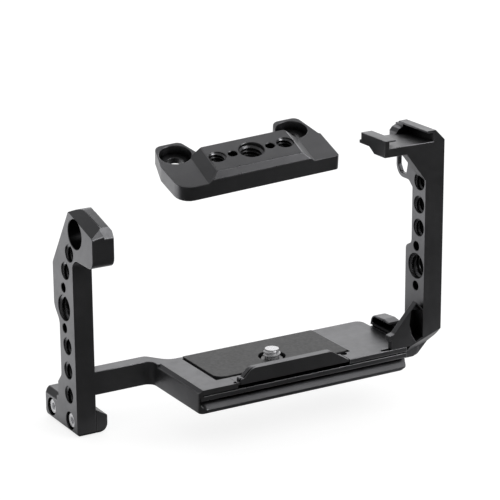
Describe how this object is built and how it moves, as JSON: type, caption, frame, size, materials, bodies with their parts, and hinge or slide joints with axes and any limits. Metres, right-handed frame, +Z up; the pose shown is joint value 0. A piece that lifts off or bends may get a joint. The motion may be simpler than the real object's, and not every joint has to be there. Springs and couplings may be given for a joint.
{
  "type": "camera cage",
  "caption": "Half cage for a camera: dovetail base with captive screw, left arm, right arm with cold shoe, and a loose threaded top plate.",
  "frame": {"origin": "where the camera screw's axis meets the underside of the base", "axes": "+X along the base to the right arm with the cold shoe, +Y away from the front stop, +Z up"},
  "size_m": [0.134, 0.0641, 0.1055],
  "materials": {
    "anodised_black": "black anodised, satin bead blast",
    "pad_black": "smooth matt",
    "bright_steel": "turned stainless steel"
  },
  "bodies": {
    "cage": {"base_frame": "anodised_black", "right_arm": "anodised_black", "arm_screws": "bright_steel", "foot_block": "anodised_black", "foot_screws": "bright_steel", "front_stop": "anodised_black", "stop_screws": "bright_steel", "base_pad": "pad_black", "top_plate": "anodised_black"},
    "clip": {"screw_clip": "bright_steel"},
    "screw": {"camera_screw": "bright_steel"}
  },
  "joints": [
    {"name": "screw_lift", "type": "slide", "parent": "cage", "child": "clip", "axis": [0, 0, 1], "range_m": [0, 0.0005]},
    {"name": "screw_turn", "type": "hinge", "parent": "clip", "child": "screw", "pos_m": [0, 0, 0.008], "axis": [0, 0, 1], "continuous": true}
  ]
}
